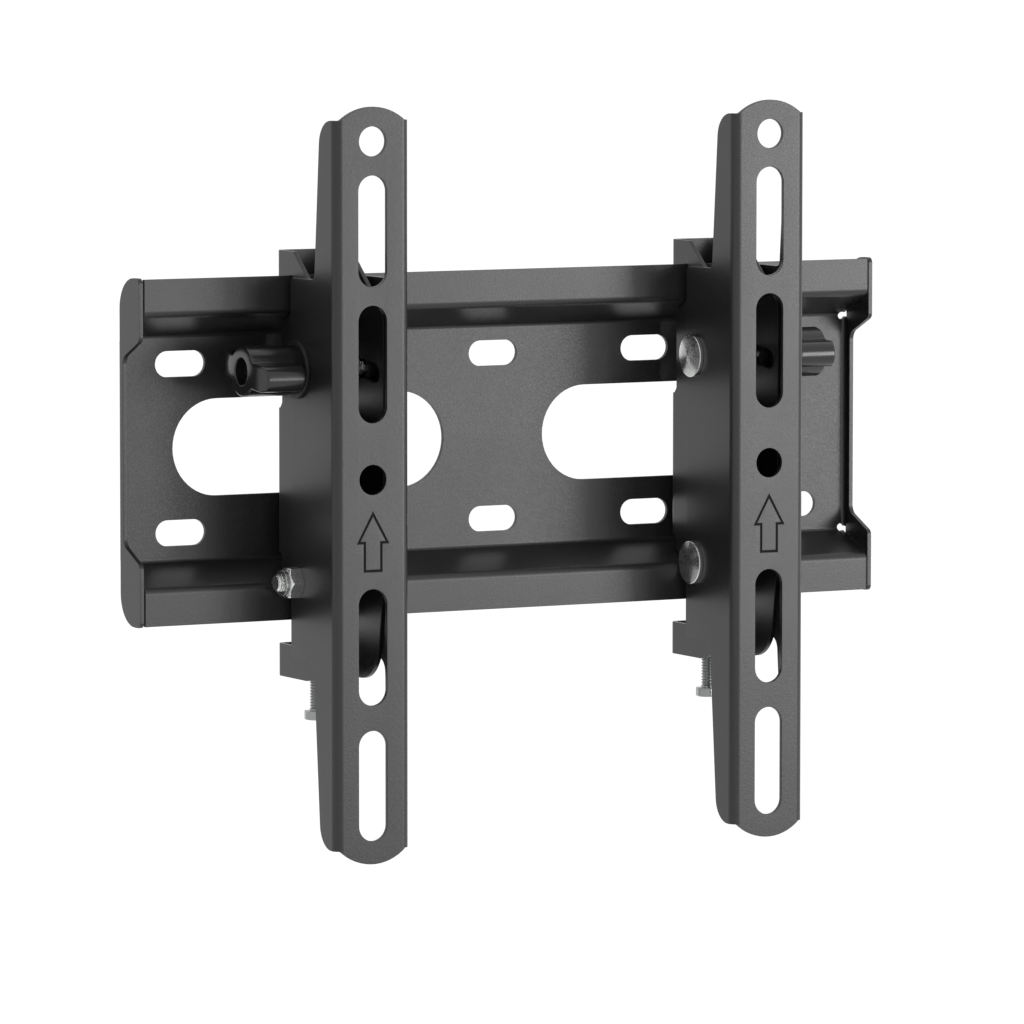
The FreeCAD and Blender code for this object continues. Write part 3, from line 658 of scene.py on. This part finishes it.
# %% A coat for each arm
def arm_coat(side):
    """The powder coat with painted shade in the pressed line of this arm's arrow."""
    low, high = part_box(side + "_tv_arm")
    # This material carries the painted shade of the arrow's pressed line.
    material = coat_material(side + "_arm_powder_coat", powder_look, {})
    tree = material.node_tree
    shader = tree.nodes["Principled BSDF"]
    line = tree.nodes.new("ShaderNodeGroup")
    line.node_tree = pressed
    line.inputs["Arm Middle"].default_value = (low.x + high.x) / 2
    line.inputs["Arm Front"].default_value = low.y
    for label, target in (("Colour", "Base Color"), ("Roughness", "Roughness")):
        source = shader.inputs[target].links[0].from_socket
        tree.links.new(source, line.inputs[label])
        tree.links.new(line.outputs[label], shader.inputs[target])
    return material


arm_coats = {side: arm_coat(side) for side in SIDES}
print("arm coats:", [material.name for material in arm_coats.values()])

# %% [markdown]
# ## Turned bolt heads
# The domes are turned on a lathe, so fine rings run round the bolt's axis. Light glances off the
# rings' slopes, and the eye sees a bright bow tie that points from the middle to the rim.

# %% A group for the rings, and a material for each kind of bolt
turned, turn_in, turn_out = node_group(
    "turned_rings",
    [("Ring Spacing", NUMBER, 0.0005), ("Ring Depth", NUMBER, 0.00002),
     ("Axis Y", NUMBER, 0.0), ("Axis Z", NUMBER, 0.0)],
    [("Normal", VECTOR)])
turn_spot = turned.nodes.new("ShaderNodeSeparateXYZ")
turned.links.new(turned.nodes.new("ShaderNodeTexCoord").outputs["Object"], turn_spot.inputs[0])
squares = [
    math_node(turned, "POWER", math_node(
        turned, "SUBTRACT", turn_spot.outputs[axis], turn_in.outputs["Axis " + axis]), 2.0)
    for axis in "YZ"]
reach_out = math_node(turned, "SQRT", math_node(turned, "ADD", *squares))
ring_phase = math_node(turned, "MULTIPLY", math_node(
    turned, "DIVIDE", reach_out, turn_in.outputs["Ring Spacing"]), 2 * math.pi)
ring_bump = turned.nodes.new("ShaderNodeBump")
turned.links.new(math_node(turned, "SINE", ring_phase), ring_bump.inputs["Height"])
turned.links.new(turn_in.outputs["Ring Depth"], ring_bump.inputs["Distance"])
turned.links.new(ring_bump.outputs["Normal"], turn_out.inputs["Normal"])


def turned_zinc(kind):
    """Zinc plating over turning rings round the axis that both bolts of this kind share."""
    low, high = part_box("left_" + kind)
    material = coat_material("turned_zinc_" + kind, zinc_look, {"Metallic": 1.0})
    tree = material.node_tree
    rings = tree.nodes.new("ShaderNodeGroup")
    rings.node_tree = turned
    rings.inputs["Axis Y"].default_value = (low.y + high.y) / 2
    rings.inputs["Axis Z"].default_value = (low.z + high.z) / 2
    tree.links.new(rings.outputs["Normal"], tree.nodes["Principled BSDF"].inputs["Normal"])
    return material


bolt_zinc = {kind: turned_zinc(kind) for kind in BOLT_KINDS}
print("bolt finishes:", [material.name for material in bolt_zinc.values()])

# %% [markdown]
# ## Sheet parts
# The wall plate, the hook brackets and the arms keep their CAD shapes. Real sheet never has a
# razor edge: punching and coating round it by a few tenths of a millimetre, and those edges are
# what catches the light. The CAD mesh is loose triangles, so it is welded before the edges are
# rounded. The triangles stay: a large face with slots in it folds over itself when it is bevelled
# in one piece. Two of the bevel's settings are switched off. One would shrink every edge to suit
# the shortest, and the other would let corners slide along a slot and leave spikes.

# %% Give the CAD parts soft edges and their finishes
same_point = 0.005
sharp_corner = 35
finishes = {
    "wall_plate": (black_coat, 0.12),
    "hook_bracket": (black_coat, 0.2),
    "tv_arm": (black_coat, 0.2),
    "pivot_spacer": (washer_plastic, 0.25),
    "tilt_spacer": (washer_plastic, 0.25),
    "pivot_nut": (zinc, 0.12),
    "nut_ring": (white_nylon, 0.15),
    "knob_washer": (washer_plastic, 0.25),
    "knob_nut": (zinc, 0.15),
}


def soften(cad_object, width):
    """Weld, round the corners by `width` millimetres, then let the large faces set the shading."""
    weld = cad_object.modifiers.new("weld", "WELD")
    weld.merge_threshold = same_point * MM
    edge = cad_object.modifiers.new("round_edges", "BEVEL")
    edge.width = width * MM
    edge.segments = 2
    edge.limit_method = "ANGLE"
    edge.angle_limit = math.radians(sharp_corner)
    edge.use_clamp_overlap = False
    edge.loop_slide = False
    even = cad_object.modifiers.new("even_shading", "WEIGHTED_NORMAL")
    even.weight = 80


for node_name, cad_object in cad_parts.items():
    if cad_object.hide_render:
        continue
    kind = node_name.replace("left_", "").replace("right_", "")
    material, width = finishes[kind]
    if kind == "tv_arm":
        material = arm_coats[node_name.split("_")[0]]
    for material_slot in cad_object.material_slots:
        material_slot.material = material
    soften(cad_object, width)
print("softened", len([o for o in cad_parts.values() if not o.hide_render]), "CAD parts")

for made, kind in bolts:
    made.data.materials.append(bolt_zinc[kind])
for pieces, material in ((screws, grey_steel), (knobs, black_plastic)):
    for made in pieces:
        made.data.materials.append(material)
print("dressed", len(bolts) + len(screws) + len(knobs), "turned and moulded parts")

# %% [markdown]
# ## Studio
# The bracket was photographed in a white surround. A pale floor lies below it and throws light
# up under the rails, the world fills in from all sides, and large soft lamps give the sheet its
# direction of light. The floor and the world are plain white to the camera, and in mirrors too.
# To everything else the world shines at half strength, so that it doesn't flatten the shapes.

# %% Floor and world
floor_height = -0.32
floor_reach = 100.0
floor_tone = (0.85, 0.85, 0.85, 1)
shadow_tone = (0.3, 0.3, 0.3, 1)
floor_glow = 0.9
world_light = 0.5


def floor_plane():
    """A square of four corners, far wider than the view."""
    mesh = bpy.data.meshes.new("studio_floor")
    corners = floor_reach * np.array([(-1, -1, 0), (1, -1, 0), (1, 1, 0), (-1, 1, 0)], float)
    corners[:, 2] = floor_height
    mesh.from_pydata(corners.tolist(), [], [(0, 1, 2, 3)])
    made = bpy.data.objects.new("studio_floor", mesh)
    bpy.context.scene.collection.objects.link(made)
    return made


def floor_material():
    """A pale matte floor. The camera sees most of its white as glow, with the shadow kept."""
    material = bpy.data.materials.new("pale_floor")
    material.use_nodes = True
    tree = material.node_tree
    tree.nodes.clear()
    out = tree.nodes.new("ShaderNodeOutputMaterial")
    matte = tree.nodes.new("ShaderNodeBsdfDiffuse")
    matte.inputs["Color"].default_value = floor_tone
    part_matte = tree.nodes.new("ShaderNodeBsdfDiffuse")
    part_matte.inputs["Color"].default_value = shadow_tone
    glow = tree.nodes.new("ShaderNodeEmission")
    glow.inputs["Strength"].default_value = floor_glow
    seen = tree.nodes.new("ShaderNodeAddShader")
    tree.links.new(part_matte.outputs[0], seen.inputs[0])
    tree.links.new(glow.outputs[0], seen.inputs[1])
    path = tree.nodes.new("ShaderNodeLightPath")
    direct = math_node(tree, "MAXIMUM", path.outputs["Is Camera Ray"],
                       path.outputs["Is Glossy Ray"])
    direct = math_node(tree, "MAXIMUM", direct, path.outputs["Is Transmission Ray"])
    choose = tree.nodes.new("ShaderNodeMixShader")
    tree.links.new(direct, choose.inputs[0])
    tree.links.new(matte.outputs[0], choose.inputs[1])
    tree.links.new(seen.outputs[0], choose.inputs[2])
    # From below the floor is clear, so that a view from there still shows the bracket.
    behind = tree.nodes.new("ShaderNodeNewGeometry")
    clear = tree.nodes.new("ShaderNodeBsdfTransparent")
    one_sided = tree.nodes.new("ShaderNodeMixShader")
    tree.links.new(behind.outputs["Backfacing"], one_sided.inputs[0])
    tree.links.new(choose.outputs[0], one_sided.inputs[1])
    tree.links.new(clear.outputs[0], one_sided.inputs[2])
    tree.links.new(one_sided.outputs[0], out.inputs["Surface"])
    return material


floor = floor_plane()
floor.data.materials.append(floor_material())

world = bpy.data.worlds.new("white_surround")
bpy.context.scene.world = world
world.use_nodes = True
world_tree = world.node_tree
backdrop = world_tree.nodes["Background"]
backdrop.inputs["Color"].default_value = (1, 1, 1, 1)
world_path = world_tree.nodes.new("ShaderNodeLightPath")
seen_directly = math_node(world_tree, "MAXIMUM", world_path.outputs["Is Camera Ray"],
                          world_path.outputs["Is Glossy Ray"])
seen_directly = math_node(world_tree, "MAXIMUM", seen_directly,
                          world_path.outputs["Is Transmission Ray"])
world_strength = math_node(world_tree, "MAXIMUM", seen_directly, world_light)
world_tree.links.new(world_strength, backdrop.inputs["Strength"])
print("floor at", floor_height, "m, world light", world_light)

# %% [markdown]
# A dark, smooth coat shows little colour of its own. What we see on it is a blurred picture of
# its surroundings. The flanges show the white surround, and the fronts show whatever stands
# where a mirror would throw the camera's line of sight, which is about 30 degrees to the right.
# So the soft boxes stand there, and they leave the places dark that the arms cover.

# %% Lamps
lamp_distance = 2.2


def soft_lamp(name, to_right, to_top, size, watts):
    """A soft box at two angles in degrees, seen from the wall's middle, turned towards it."""
    turn, lift = math.radians(to_right), math.radians(to_top)
    light = bpy.data.lights.new(name, "AREA")
    light.shape = "RECTANGLE"
    light.size, light.size_y = size
    light.energy = watts
    lamp = bpy.data.objects.new(name, light)
    lamp.location = lamp_distance * Vector(
        (math.sin(turn) * math.cos(lift), -math.cos(turn) * math.cos(lift), math.sin(lift)))
    lamp.rotation_mode = "QUATERNION"
    lamp.rotation_quaternion = (-lamp.location).to_track_quat("-Z", "Y")
    bpy.context.scene.collection.objects.link(lamp)
    return lamp


lamps = [
    soft_lamp("right_box", 39, 1.5, (0.65, 0.55), 10.5),
    soft_lamp("right_high_box", 36, 12, (0.5, 0.4), 4.0),
    soft_lamp("low_box", 30, -7, (0.6, 0.2), 3.2),
    soft_lamp("middle_box", 19, 1, (0.45, 0.5), 2.4),
]
print(len(lamps), "soft boxes,", round(sum(lamp.data.energy for lamp in lamps), 1), "W in all")

# %% [markdown]
# ## Camera
# The photograph was taken from a little to the left and slightly above, from far away with a
# long lens, so upright edges stay nearly parallel. The camera turns about the middle of the
# wall plate's back, which is where the model starts from, and `origin_across` and `origin_down`
# say at which pixel of the picture that point lies.

# %% Camera
azimuth = math.radians(-28.1878)
elevation = math.radians(4.3929)
roll = math.radians(-0.0103)
distance = 3.4488
focal_pixels = 7664.92
frame_pixels = 1024
origin_across, origin_down = 490.714, 435.276
middle_right = frame_pixels / 2 - origin_across
middle_down = frame_pixels / 2 - origin_down

back = Vector((math.sin(azimuth) * math.cos(elevation),
               -math.cos(azimuth) * math.cos(elevation), math.sin(elevation)))
level_right = Vector((math.cos(azimuth), math.sin(azimuth), 0))
level_up = back.cross(level_right)
right = level_right * math.cos(roll) - level_up * math.sin(roll)
up = level_right * math.sin(roll) + level_up * math.cos(roll)
sight = -back + right * middle_right / focal_pixels - up * middle_down / focal_pixels
sight.normalize()
right = (right - sight * right.dot(sight)).normalized()
up = right.cross(sight)

camera_data = bpy.data.cameras.new("photograph_view")
camera_data.sensor_width = 36.0
camera_data.lens = focal_pixels / frame_pixels * camera_data.sensor_width
camera_data.clip_start = 0.1
camera_data.clip_end = 400
camera = bpy.data.objects.new("photograph_view", camera_data)
camera_axes = Matrix((right, up, -sight)).transposed()
camera.matrix_world = Matrix.Translation(back * distance) @ camera_axes.to_4x4()
bpy.context.scene.collection.objects.link(camera)
bpy.context.scene.camera = camera
print("lens", round(camera_data.lens, 2), "mm at", round(distance, 3), "m")

# %% [markdown]
# The Standard view shows each colour as it is written. The dressed part has to stay within
# the CAD part's size.

# %% Colour handling
bpy.context.scene.view_settings.view_transform = "Standard"
